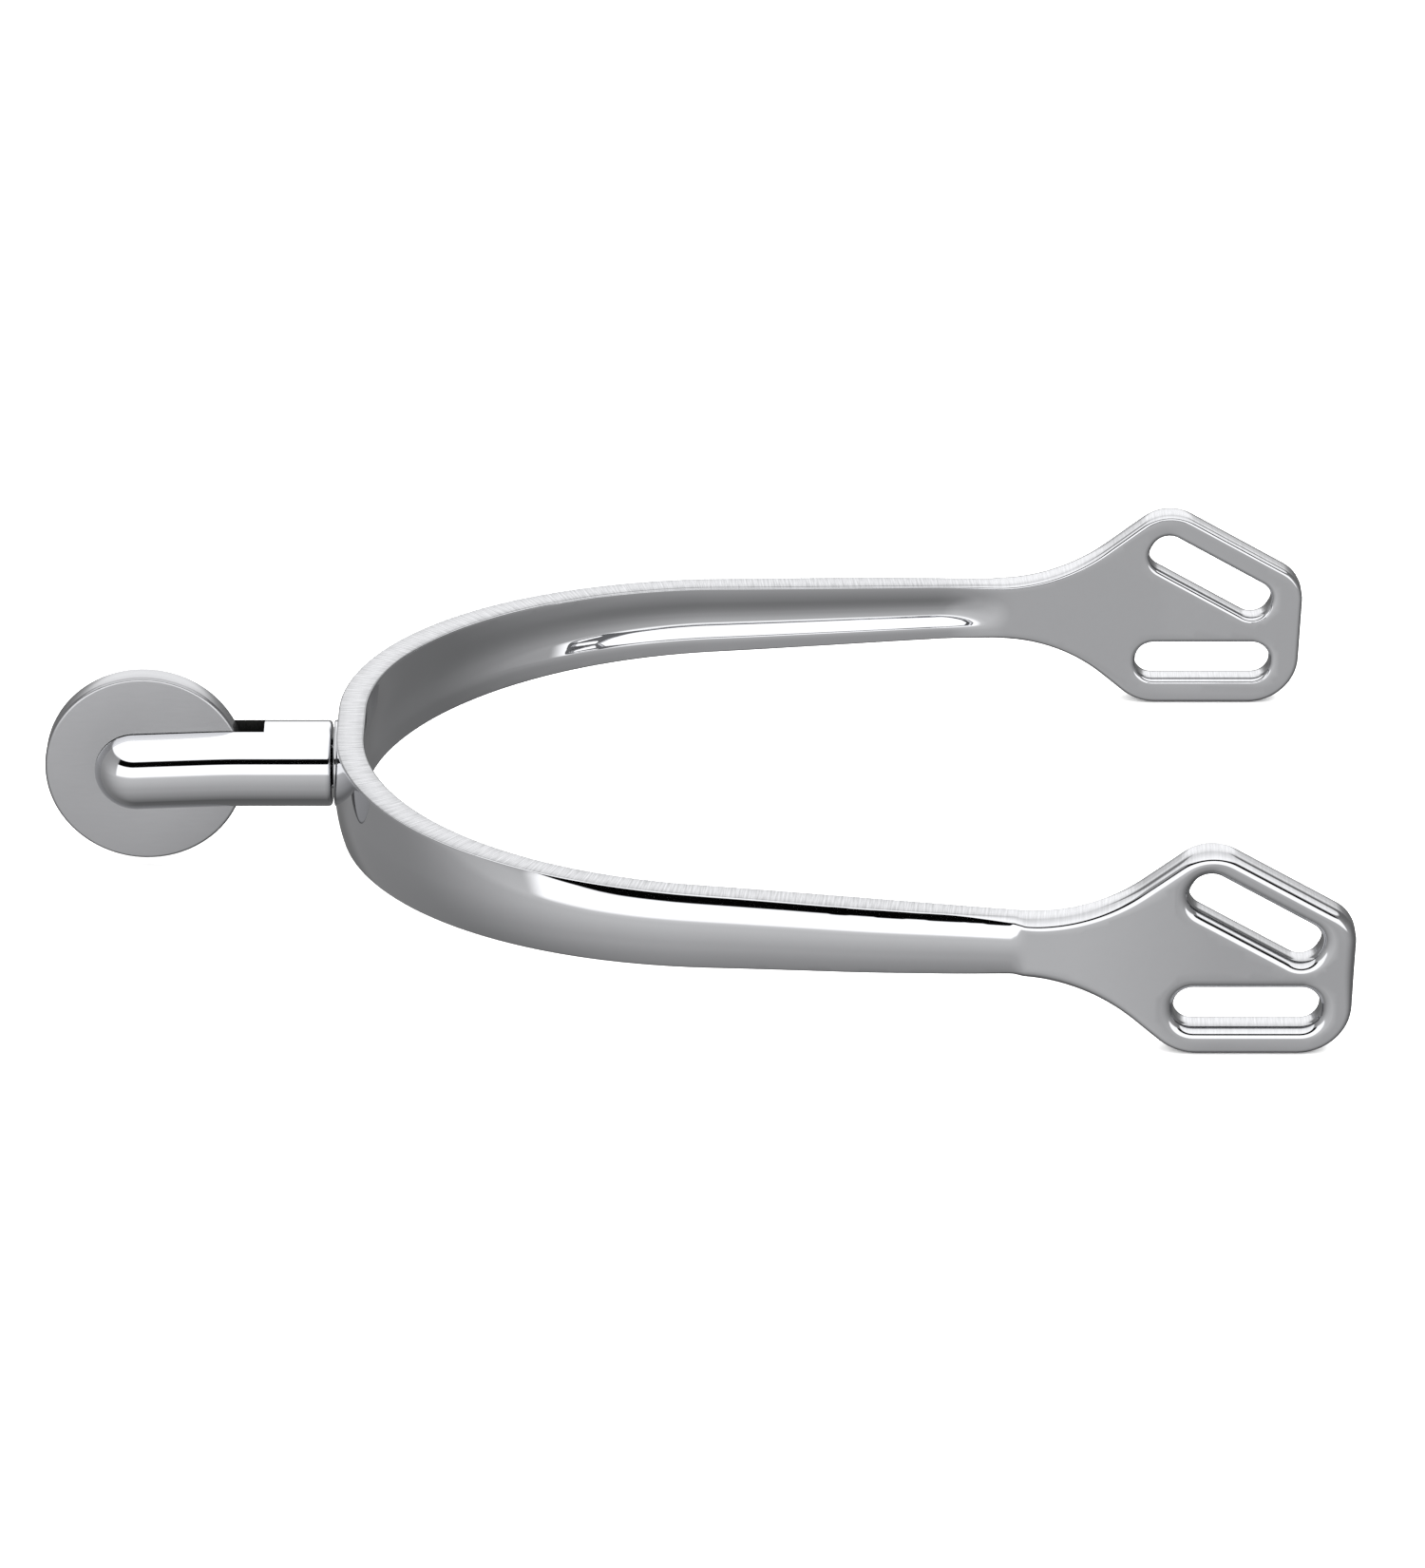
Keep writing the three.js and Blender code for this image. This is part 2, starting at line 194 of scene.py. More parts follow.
def rounded(corners, closed=True):
    """An outline whose corners (x, z, radius) are true arcs. An open one keeps its two ends."""
    points = []
    count = len(corners)
    for i, (x, z, radius) in enumerate(corners):
        corner = np.array((x, z))
        if radius == 0 or (not closed and i in (0, count - 1)):
            points.append(corner)
            continue
        back = np.array(corners[i - 1][:2]) - corner
        ahead = np.array(corners[(i + 1) % count][:2]) - corner
        back, ahead = back / np.linalg.norm(back), ahead / np.linalg.norm(ahead)
        half = math.acos(np.clip(back @ ahead, -1, 1)) / 2
        middle = (back + ahead) / np.linalg.norm(back + ahead)
        centre = corner + middle * radius / math.sin(half)
        sweep = math.pi - 2 * half
        steps = max(
            3, math.ceil(sweep * radius / EDGE_STEP), math.ceil(math.degrees(sweep) / ARC_DEGREES)
        )
        side = (corner + back * radius / math.tan(half) - centre) / radius
        turn = 1 if side[1] * back[0] - side[0] * back[1] > 0 else -1
        for angle in np.linspace(0, turn * sweep, steps + 1):
            c, s = math.cos(angle), math.sin(angle)
            spoke = np.array((side[0] * c - side[1] * s, side[0] * s + side[1] * c))
            points.append(centre + radius * spoke)
    return np.array(points)


def divided(points, closed=False):
    """The same line with no step longer than EDGE_STEP."""
    ends = np.roll(points, -1, axis=0) if closed else points[1:]
    line = []
    for start, end in zip(points, ends):
        steps = max(1, math.ceil(np.linalg.norm(end - start) / EDGE_STEP))
        line.extend(start + (end - start) * i / steps for i in range(steps))
    if not closed:
        line.append(points[-1])
    return np.array(line)


path = band_path()
path_s = np.concatenate(((0,), np.cumsum(np.linalg.norm(np.diff(path, axis=0), axis=1))))
bent = path[:, 1] >= HEEL_HALF_FLAT


def unrolled(points):
    """Side-view points (x, z) as points of the flat blank (distance from the heel, z)."""
    return np.column_stack((np.interp(points[:, 0], path[bent, 0], path_s[bent]), points[:, 1]))


peak_x = BAND_LENGTH - PEAK_SETBACK
foot_x = BAND_LENGTH - FOOT_SETBACK
top_z = neck_radius + HEEL_RIMS[0]
bottom_z = -neck_radius - HEEL_RIMS[1]
front_z = PLATE_PEAK - PEAK_SETBACK * FALL
side_view = rounded(
    [
        (heel_x, top_z, 0),
        (arm_x, (top_z + ARM_EDGES[0]) / 2 + ARM_BOW, ARM_BOW_RADIUS),
        (peak_x - (PLATE_PEAK - ARM_EDGES[0]) / RISE, ARM_EDGES[0], FLARE_RADIUS),
        (peak_x, PLATE_PEAK, PEAK_RADIUS),
        (BAND_LENGTH, front_z, END_RADII[0]),
        (BAND_LENGTH - END_RAKE, plate_bottom, END_RADII[1]),
        (foot_x, plate_bottom, FOOT_RADIUS),
        (foot_x - (ARM_EDGES[1] - plate_bottom) / FOOT_RISE, ARM_EDGES[1], FLARE_RADIUS),
        (heel_x, bottom_z, 0),
    ],
    closed=False,
)
half_outline = divided(np.vstack(((0, top_z), unrolled(side_view), (0, bottom_z))))
front = int(np.argmax(half_outline[:, 0]))
upper_line = half_outline[: front + 1]
lower_line = half_outline[front:][::-1]
mirror = np.array((-1, 1))
outline = np.vstack((half_outline, (half_outline * mirror)[-2:0:-1]))


def slot(centre, tilt):
    """A strap slot's outline on the left plate of the blank, tilted down towards the front."""
    half_x, half_z = SLOT_SIZE[0] / 2, SLOT_SIZE[1] / 2
    box = [(-half_x, -half_z), (half_x, -half_z), (half_x, half_z), (-half_x, half_z)]
    points = divided(rounded([(*corner, SLOT_CORNER) for corner in box]), closed=True)
    c, s = math.cos(tilt), math.sin(tilt)
    turned = np.column_stack((points[:, 0] * c + points[:, 1] * s, points[:, 1] * c - points[:, 0] * s))
    return unrolled(turned + centre)


fall = math.atan(FALL)
upper_depth, lower_depth = UPPER_SLOT[1] + SLOT_SIZE[1] / 2, LOWER_SLOT[1] + SLOT_SIZE[1] / 2
upper_slot = slot(
    (
        BAND_LENGTH - UPPER_SLOT[0] * math.cos(fall) - upper_depth * math.sin(fall),
        front_z + UPPER_SLOT[0] * math.sin(fall) - upper_depth * math.cos(fall),
    ),
    fall,
)
lower_slot = slot((BAND_LENGTH - LOWER_SLOT[0], plate_bottom + lower_depth), 0)
slots = [upper_slot, lower_slot, upper_slot * mirror, lower_slot * mirror]


def eased(x, start, end):
    """A smooth step from 0 at the start to 1 at the end."""
    t = np.clip((x - start) / (end - start), 0, 1)
    return t * t * (3 - 2 * t)


def across(s, z):
    """How far up the band a point is, from -1 to 1, with the half height there and the distance
    from the neck's seat."""
    s = np.abs(s)
    top, bottom = (np.interp(s, line[:, 0], line[:, 1]) for line in (upper_line, lower_line))
    half = np.maximum((top - bottom) / 2, LEAST_HALF)
    level = np.clip((z - bottom) / half - 1, LEVELS[0], LEVELS[-1])
    return level, half, np.interp(s, path_s, path[:, 0])


# The tilt of each face in degrees, from the lower edge to the upper one. The outside is rounded
# over its whole height, and the inside is a hollow with a flat strip left along its lower edge.
LEVELS = np.linspace(-1.2, 1.2, 241)
ARM_CROWN = -1.5 + 29.5 * LEVELS + 5 * LEVELS**2 - 2.5 * LEVELS**3
HEEL_CROWN = np.minimum(1.0 + 18.5 * LEVELS, 3.0)
HOLLOW = np.interp(
    LEVELS,
    (-1.2, -0.72, -0.62, -0.54, -0.45, -0.3, -0.14, 0.05, 0.25, 0.45, 0.6, 0.92, 1.2),
    (-9, -8, -2, 18, 22, 18, 9, -9, -22, -25, -20, -11, -8),
)


def profile(tilts):
    """How far a face stands out at each level, over half its height, from its tilts."""
    slopes = -np.tan(np.radians(tilts))
    rise = np.concatenate(((0,), np.cumsum((slopes[1:] + slopes[:-1]) / 2 * np.diff(LEVELS))))
    return rise - rise.max()


arm_crown, heel_crown, hollow = profile(ARM_CROWN), profile(HEEL_CROWN), profile(HOLLOW)


def outer_height(s, z):
    """How far the outer face stands off the middle of the blank's thickness."""
    level, half, x = across(s, z)
    arm = eased(x, heel_x + HEEL_EASE, arm_x - ARM_EASE)
    fade = 1 - eased(x, BAND_LENGTH - CROWN_END - CROWN_FADE, BAND_LENGTH - CROWN_END)
    crown = arm * np.interp(level, LEVELS, arm_crown) + (1 - arm) * np.interp(level, LEVELS, heel_crown)
    proud = ARM_PROUD * arm * (1 - eased(x, *PROUD_END))
    return BAND_THICKNESS / 2 + proud + fade * half * crown


def inner_height(s, z):
    """How far the inner face stands off the middle of the blank's thickness."""
    level, half, x = across(s, z)
    fade = 1 - eased(x, BAND_LENGTH - CROWN_END - HOLLOW_FADE, BAND_LENGTH - CROWN_END + CROWN_FADE)
    depth = HEEL_HOLLOW + (1 - HEEL_HOLLOW) * eased(x, heel_x + HEEL_EASE, arm_x)
    return BAND_THICKNESS / 2 + fade * depth * half * np.interp(level, LEVELS, hollow)


def inward(loop, hole):
    """Unit vectors from the points of a closed line into the steel beside it."""
    along = np.roll(loop, -1, axis=0) - np.roll(loop, 1, axis=0)
    normal = np.column_stack((-along[:, 1], along[:, 0]))
    normal /= np.linalg.norm(normal, axis=1)[:, None]
    x, z = loop[:, 0], loop[:, 1]
    area = np.sum(x * np.roll(z, -1) - z * np.roll(x, -1))
    return normal if (area > 0) != hole else -normal


def inside(points, loop):
    """Which points a closed line goes round."""
    x, z = points[:, 0], points[:, 1]
    found = np.zeros(len(points), bool)
    for (x1, z1), (x2, z2) in zip(loop, np.roll(loop, -1, axis=0)):
        if z1 != z2:
            found ^= ((z1 > z) != (z2 > z)) & (x < (x2 - x1) * (z - z1) / (z2 - z1) + x1)
    return found


def clear_of(points, loops, gap):
    """Which points are at least that far from every line."""
    corners = np.vstack(loops)
    found = np.ones(len(points), bool)
    at_once = 2000
    for start in range(0, len(points), at_once):
        block = points[start : start + at_once]
        distance = np.linalg.norm(block[:, None] - corners[None], axis=2).min(axis=1)
        found[start : start + at_once] = distance > gap
    return found


def rounded_edge(loop, hole, height, radius):
    """Rings of (points, height) from the wall of an edge over its rounding on to the face."""
    normal = inward(loop, hole)
    slope = np.zeros(len(loop))
    for _ in range(3):
        reach = (radius * (1 - np.sin(slope)))[:, None]
        near, far = loop + normal * reach, loop + normal * (reach + PROBE)
        slope = np.arctan((height(*far.T) - height(*near.T)) / PROBE)
    reach = radius * (1 - np.sin(slope))
    wall = height(*(loop + normal * reach[:, None]).T) - radius * np.cos(slope)
    rings = []
    for k in range(ROUNDING_STEPS + 1):
        angle = (math.pi / 2 - slope) * k / ROUNDING_STEPS
        points = loop + normal * (radius * (1 - np.cos(angle)))[:, None]
        rings.append((points, wall + radius * np.sin(angle)))
    return rings


def face_grid():
    """Points all over a face, in rows that follow the band's two edges."""
    stations = np.arange(-upper_line[-1, 0], upper_line[-1, 0], GRID_STEP)
    levels = np.linspace(-GRID_REACH, GRID_REACH, GRID_ROWS)
    top, bottom = (
        np.interp(np.abs(stations), line[:, 0], line[:, 1]) for line in (upper_line, lower_line)
    )
    z = (top + bottom)[:, None] / 2 + (top - bottom)[:, None] / 2 * levels
    return np.column_stack((np.repeat(stations, GRID_ROWS), z.ravel()))


def blank():
    """The flat blank as vertices (distance along, height off the middle, z), faces, and two marks
    for each vertex: how much it is ground, and how much painted shade it takes as the dark line beside a
    wall."""
    vertices, faces, ground, painted_edge_shade = [], [], [], []
    loops = [(outline, False)] + [(line, True) for line in slots]

    def add(points, heights, mark, line=0.0):
        first = sum(map(len, vertices))
        vertices.append(np.column_stack((points[:, 0], heights, points[:, 1])))
        ground.append(np.zeros(len(points)) + mark)
        painted_edge_shade.append(np.zeros(len(points)) + line)
        return first + np.arange(len(points))

    def bridge(a, b):
        a2, b2 = np.roll(a, -1), np.roll(b, -1)
        faces.extend(zip(a.tolist(), a2.tolist(), b2.tolist(), b.tolist()))

    rims = {1: [], -1: []}
    for loop, hole in loops:
        walls = {}
        at_plate = eased(across(*loop.T)[2], *PLATE_START)
        at_top = eased(loop[:, 1], *FOOT_TO_TOP)
        # How much of the grinding marks and of the painted dark line of shade each point keeps, less on
        # the plates.
        wear, painted_edge_shade_kept = (1 - (1 - share) * at_plate for share in (PLATE_WEAR, PLATE_PAINTED_EDGE_SHADE))
        for k, side, height in ((0, 1, outer_height), (1, -1, inner_height)):
            on_plate = FOOT_ROUNDINGS[k] + (PLATE_ROUNDINGS[k] - FOOT_ROUNDINGS[k]) * at_top
            radius = ARM_ROUNDINGS[k] + (on_plate - ARM_ROUNDINGS[k]) * at_plate
            if hole:
                radius = np.full(len(loop), SLOT_ROUNDINGS[k])
            rings = rounded_edge(loop, hole, height, radius)
            rows = [
                add(points, side * up, wear * (1 - i / ROUNDING_STEPS), PAINTED_EDGE_SHADE_LINE[i] * painted_edge_shade_kept)
                for i, (points, up) in enumerate(rings)
            ]
            for a, b in zip(rows, rows[1:]):
                bridge(a, b)
            walls[side] = (rows[0], rings[0][1] * side)
            rims[side].append((rows[-1], rings[-1][0]))
        rows = [walls[1][0]]
        for k in range(1, WALL_STEPS):
            share = k / WALL_STEPS
            rows.append(add(loop, walls[1][1] * (1 - share) + walls[-1][1] * share, wear))
        rows.append(walls[-1][0])
        for a, b in zip(rows, rows[1:]):
            bridge(a, b)

    grid = face_grid()
    for side, height in ((1, outer_height), (-1, inner_height)):
        lines = [points for _, points in rims[side]]
        kept = grid[inside(grid, lines[0])]
        for line in lines[1:]:
            kept = kept[~inside(kept, line)]
        kept = kept[clear_of(kept, lines, GRID_GAP)]
        known = np.concatenate([rows for rows, _ in rims[side]])
        points = np.vstack(lines + [kept])
        added = add(kept, side * height(*kept.T), 0)
        numbers = np.concatenate((known, added))
        edges, start = [], 0
        for line in lines:
            edges += [(start + i, start + (i + 1) % len(line)) for i in range(len(line))]
            start += len(line)
        result = delaunay_2d_cdt([Vector(p) for p in points], edges, [], 1, 1e-6)
        origin = [source[0] if source else -1 for source in result[3]]
        triangles = np.array([[origin[i] for i in face] for face in result[2]])
        centres = points[triangles].mean(axis=1)
        solid = inside(centres, lines[0])
        for line in lines[1:]:
            solid &= ~inside(centres, line)
        faces.extend(map(tuple, numbers[triangles[solid]].tolist()))
    return np.vstack(vertices), faces, np.concatenate(ground), np.concatenate(painted_edge_shade)


def mesh_object(name, vertices, faces):
    """A new object with those vertices in metres."""
    mesh = bpy.data.meshes.new(name)
    mesh.from_pydata(np.asarray(vertices).tolist(), [], faces)
    mesh.update()
    made = bpy.data.objects.new(name, mesh)
    bpy.context.scene.collection.objects.link(made)
    return made


def face_outwards(made):
    """Turns every face of a closed mesh to the outside."""
    work = bmesh.new()
    work.from_mesh(made.data)
    bmesh.ops.recalc_face_normals(work, faces=work.faces)
    work.to_mesh(made.data)
    work.free()


def settle(made):
    """Turns an object's modifiers into a plain mesh."""
    bpy.context.view_layer.update()
    depsgraph = bpy.context.evaluated_depsgraph_get()
    mesh = bpy.data.meshes.new_from_object(made.evaluated_get(depsgraph))
    made.modifiers.clear()
    made.data = mesh


def cut(made, tool, operation="DIFFERENCE"):
    """Joins or cuts an object with another one, which is used up."""
    modifier = made.modifiers.new(operation.lower(), "BOOLEAN")
    modifier.operation = operation
    modifier.solver = "EXACT"
    modifier.object = tool
    settle(made)
    bpy.data.objects.remove(tool)


def smooth(made, limit):
    """Smooth shading, with a crease at each edge sharper than the limit in degrees."""
    made.data.shade_smooth()
    made.data.set_sharp_from_angle(angle=math.radians(limit))


class Value:
    """A socket of a node tree. Sums and products of values add the Math nodes that work them out."""

    def __init__(self, tree, socket):
        self.tree, self.socket = tree, socket

    def math(self, operation, *others):
        return node(self.tree, "ShaderNodeMath", {"operation": operation}, self, *others)

    def __add__(self, other):
        return self.math("ADD", other)

    __radd__ = __add__

    def __mul__(self, other):
        return self.math("MULTIPLY", other)

    __rmul__ = __mul__

    def __sub__(self, other):
        return self.math("SUBTRACT", other)

    def __rsub__(self, other):
        return self * -1 + other

    def __getitem__(self, name):
        return Value(self.tree, self.socket.node.outputs[name])


def node(tree, kind, settings=None, *by_place, **by_name):
    """Adds a node, sets it, fills its sockets by place or by name, and returns its first output."""
    made = tree.nodes.new(kind)
    for name, value in (settings or {}).items():
        if name == "stops":
            for place, _ in value[2:]:
                made.color_ramp.elements.new(place)
            for element, (place, grey) in zip(made.color_ramp.elements, value):
                element.position, element.color = place, (grey, grey, grey, 1)
        else:
            setattr(made, name, value)
    filled = list(enumerate(by_place)) + [(name.replace("_", " "), v) for name, v in by_name.items()]
    for place, value in filled:
        if isinstance(value, Value):
            tree.links.new(value.socket, made.inputs[place])
        else:
            made.inputs[place].default_value = value
    shown = [output for output in made.outputs if output.enabled]
    return Value(tree, shown[0]) if shown else made


def polished_steel():
    """Mirror-polished stainless steel. The ground mark brings up the lines of the wheel that went
    across the edges, and the other mark paints a dark line of shade beside them: painted shade."""
    material = bpy.data.materials.new("polished_steel")
    material.use_nodes = True
    tree = material.node_tree
    tree.nodes.clear()
    place = node(tree, "ShaderNodeTexCoord")["Object"]
    ground = node(tree, "ShaderNodeAttribute", {"attribute_name": "ground"})["Fac"]
    painted_edge_shade = node(tree, "ShaderNodeAttribute", {"attribute_name": "painted_edge_shade"})["Fac"]
    rolled = node(tree, "ShaderNodeUVMap", {"uv_map": "rolled"})
    cloud = node(tree, "ShaderNodeTexNoise", None, place, Scale=90.0, Detail=3.0, Roughness=0.55)
    grain = node(tree, "ShaderNodeTexNoise", None, place, Scale=1400.0, Detail=3.0, Roughness=0.6)
    stretched = node(tree, "ShaderNodeMapping", None, rolled, Scale=(5.0, 0.3, 1.0))
    marks = node(tree, "ShaderNodeTexNoise", {"noise_dimensions": "2D"}, stretched, Scale=1.0, Detail=4.0)
    # The last factor is painted shade: a dark line painted along the edges.
    shade = (cloud * 0.03 + grain * 0.015 - marks * ground * 0.42 + 0.64) * (1.0 - painted_edge_shade * 0.55)
    colour = node(tree, "ShaderNodeCombineColor", None, shade * 0.985, shade * 0.992, shade * 1.02)
    roughness = 0.012 + grain * 0.014 + ground * (0.06 + marks * 0.14)
    height = cloud * 0.5 + grain * 0.012 + ground * marks * 0.06
    bump = node(tree, "ShaderNodeBump", None, Strength=1.0, Distance=0.00003, Height=height)
    shader = node(
        tree, "ShaderNodeBsdfPrincipled", None,
        Base_Color=colour, Metallic=1.0, Roughness=roughness, Normal=bump,
    )
    node(tree, "ShaderNodeOutputMaterial", None, shader)
    return material


def bending_tree():
    """Geometry nodes that bend a flat blank round a path: its X runs along the path from the middle,
    its Y stands off the path's outside, and its Z stays."""
    tree = bpy.data.node_groups.new("bend_round_heel", "GeometryNodeTree")
    sockets = {}
    for name, kind in (
        ("Blank", "Geometry"), ("Heel path", "Object"), ("Half length", "Float"), ("Material", "Material"),
    ):
        item = tree.interface.new_socket(name, in_out="INPUT", socket_type="NodeSocket" + kind)
        sockets[name] = item.identifier
    tree.interface.new_socket("Band", in_out="OUTPUT", socket_type="NodeSocketGeometry")
    given = Value(tree, tree.nodes.new("NodeGroupInput").outputs[0])
    where = node(tree, "ShaderNodeSeparateXYZ", None, node(tree, "GeometryNodeInputPosition"))
    heel = node(tree, "GeometryNodeObjectInfo", None, given["Heel path"])["Geometry"]
    sample = node(
        tree, "GeometryNodeSampleCurve", {"mode": "LENGTH"},
        Curves=heel, Length=where["X"] + given["Half length"],
    )
    outward = node(
        tree, "ShaderNodeVectorMath", {"operation": "CROSS_PRODUCT"}, (0, 0, 1), sample["Tangent"]
    )
    outward = node(tree, "ShaderNodeVectorMath", {"operation": "NORMALIZE"}, outward)
    offset = node(tree, "ShaderNodeVectorMath", {"operation": "SCALE"}, outward, Scale=where["Y"])
    lifted = node(tree, "ShaderNodeCombineXYZ", None, 0.0, 0.0, where["Z"])
    spot = node(tree, "ShaderNodeVectorMath", {"operation": "ADD"}, sample["Position"], offset)
    spot = node(tree, "ShaderNodeVectorMath", {"operation": "ADD"}, spot, lifted)
    moved = node(tree, "GeometryNodeSetPosition", None, given["Blank"], Position=spot)
    real = node(tree, "GeometryNodeRealizeInstances", None, moved)
    painted = node(tree, "GeometryNodeSetMaterial", None, real, Material=given["Material"])
    node(tree, "NodeGroupOutput", None, painted)
    return tree, sockets


def path_object():
    """The whole band's path as a curve, from the right plate round the heel to the left plate."""
    left = np.column_stack((path + (seat_x, 0), np.full(len(path), axis_z))) * MM
    whole = np.vstack(((left * (1, -1, 1))[:0:-1], left))
    curve = bpy.data.curves.new("heel_path", "CURVE")
    curve.dimensions = "3D"
    spline = curve.splines.new("POLY")
    spline.points.add(len(whole) - 1)
    spline.points.foreach_set("co", np.column_stack((whole, np.ones(len(whole)))).ravel())
    made = bpy.data.objects.new("heel_path", curve)
    bpy.context.scene.collection.objects.link(made)
    return made


def turned(name, outline_points, centre, sides, cross=False):
    """A turned solid through a centre, from (along, radius) points in millimetres that start and
    end on the axis. It runs along X, or across the spur along Y."""
    angles = np.linspace(0, 2 * math.pi, sides, endpoint=False)
    vertices, faces, rows = [], [], []
    for along, radius in outline_points:
        first = len(vertices)
        if radius == 0:
            vertices.append((along, 0, 0))
            rows.append([first] * sides)
        else:
            vertices.extend((along, radius * math.cos(a), radius * math.sin(a)) for a in angles)
            rows.append(list(range(first, first + sides)))
    for a, b in zip(rows, rows[1:]):
        for i in range(sides):
            loop = [a[i], a[(i + 1) % sides], b[(i + 1) % sides], b[i]]
            faces.append(tuple(dict.fromkeys(loop)))
    placed = np.array(vertices)[:, (1, 0, 2) if cross else (0, 1, 2)] + centre
    made = mesh_object(name, placed * MM, faces)
    face_outwards(made)
    return made


def arc(along, radius, size, start, end, steps=8):
    """Points of a fillet in a turned outline, by the angle from the axis in degrees."""
    angles = np.radians(np.linspace(start, end, steps + 1))
    return [(along + size * math.cos(a), radius + size * math.sin(a)) for a in angles]


def box_object(name, low, high):
    corners = [(x, y, z) for x in (low[0], high[0]) for y in (low[1], high[1]) for z in (low[2], high[2])]
    sides = [(0, 1, 3, 2), (4, 6, 7, 5), (0, 4, 5, 1), (2, 3, 7, 6), (0, 2, 6, 4), (1, 5, 7, 3)]
    made = mesh_object(name, np.array(corners) * MM, sides)
    face_outwards(made)
    return made


flat_vertices, flat_faces, ground_marks, painted_edge_shade_marks = blank()
band = mesh_object("forged_band", flat_vertices * MM, flat_faces)
# The second attribute carries the painted shade of the dark line beside the walls.
for name, marks in (("ground", ground_marks), ("painted_edge_shade", painted_edge_shade_marks)):
    band.data.attributes.new(name, "FLOAT", "POINT").data.foreach_set("value", marks)
unrolled_uv = band.data.uv_layers.new(name="rolled")
corner_vertices = np.zeros(len(band.data.loops), int)
band.data.loops.foreach_get("vertex_index", corner_vertices)
unrolled_uv.data.foreach_set("uv", flat_vertices[corner_vertices][:, :2].ravel())

polished = polished_steel()
heel_curve = path_object()
tree, sockets = bending_tree()
bend = band.modifiers.new("bend", "NODES")
bend.node_group = tree
bend[sockets["Heel path"]] = heel_curve
bend[sockets["Half length"]] = path_s[-1] * MM
bend[sockets["Material"]] = polished
settle(band)
bpy.data.objects.remove(heel_curve)
face_outwards(band)

stud_hole_radius = stud_high.y + STUD_GAPS[0]
band_hole_depth = stud_high.x + STUD_GAPS[1] - seat_x
seat = (seat_x, 0, axis_z)
boss = turned(
    "boss",
    [(0, 0)]
    + arc(BOSS_EDGE, neck_radius - BOSS_EDGE, BOSS_EDGE, 180, 90)
    + arc(BOSS_EDGE, neck_radius + BOSS_FILLET, BOSS_FILLET, -90, 0)
    + [(BOSS_DEPTH, neck_radius + BOSS_FILLET), (BOSS_DEPTH, 0)],
    seat,
    BOSS_SIDES,
)
reach = neck_radius + 2 * BOSS_FILLET
trim = box_object(
    "trim",
    (seat_x - CUT_PAST, -reach, axis_z + bottom_z + BOSS_TRIM),
    (seat_x + BOSS_DEPTH + CUT_PAST, reach, axis_z + top_z - BOSS_TRIM),
)
cut(boss, trim, "INTERSECT")
cut(band, boss, "UNION")
band_hole = [
    (-CUT_PAST, 0), (-CUT_PAST, stud_hole_radius),
    (band_hole_depth, stud_hole_radius), (band_hole_depth, 0),
]
cut(band, turned("hole", band_hole, seat, HOLE_SIDES))
smooth(band, CREASE)
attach(band, "spur")
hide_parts("heel_band")

# --- Neck stud ------------------------------------------------------------------------------------
# A short steel stud, threaded from end to end and locked into the band and the neck. It holds the
# neck against the boss and doesn't show when the spur is together.
THREAD_PITCH = 0.8
THREAD_DEPTH = 0.42
STUD_CHAMFER = 0.4
STUD_SIDES = 64
THREAD_STEP = 0.1
THREAD_CREASE = 40


def satin_steel():
    """Stainless steel left with the fine, even lines of a satin wheel. Its colour holds painted shade: the
    rim is painted a little darker than the sides, and the rounded edges, which face neither the side nor
    the rim, darker still."""
    material = bpy.data.materials.new("satin_steel")
    material.use_nodes = True
    tree = material.node_tree
    tree.nodes.clear()
    place = node(tree, "ShaderNodeTexCoord")["Object"]
    cloud = node(tree, "ShaderNodeTexNoise", None, place, Scale=160.0, Detail=3.0, Roughness=0.55)
    lines = node(tree, "ShaderNodeMapping", None, place, Scale=(500.0, 3000.0, 6000.0))
    marks = node(tree, "ShaderNodeTexNoise", None, lines, Scale=1.0, Detail=3.0, Roughness=0.6)
    normal = node(tree, "ShaderNodeTexCoord")["Normal"]
    # Painted shade: the colour darkens as the surface turns from the sides to the rim, and most on the
    # rounded edges between, as a painted dark line.
    facing_side = node(tree, "ShaderNodeSeparateXYZ", None, normal)["Y"].math("ABSOLUTE")
    painted_dark_edge = facing_side * (1 - facing_side) * 4
    shade = (cloud * 0.03 + marks * 0.05 + 0.53) * (facing_side * 0.22 + 0.78) * (1 - painted_dark_edge * 0.4)
    colour = node(tree, "ShaderNodeCombineColor", None, shade * 0.985, shade * 0.992, shade * 1.02)
    roughness = 0.13 + marks * 0.10 + cloud * 0.04
    bump = node(
        tree, "ShaderNodeBump", None, Strength=1.0, Distance=0.00002, Height=marks * 0.06 + cloud * 0.2
    )
    shader = node(
        tree, "ShaderNodeBsdfPrincipled", None,
        Base_Color=colour, Metallic=1.0, Roughness=roughness, Normal=bump,
    )
    node(tree, "ShaderNodeOutputMaterial", None, shader)
    return material


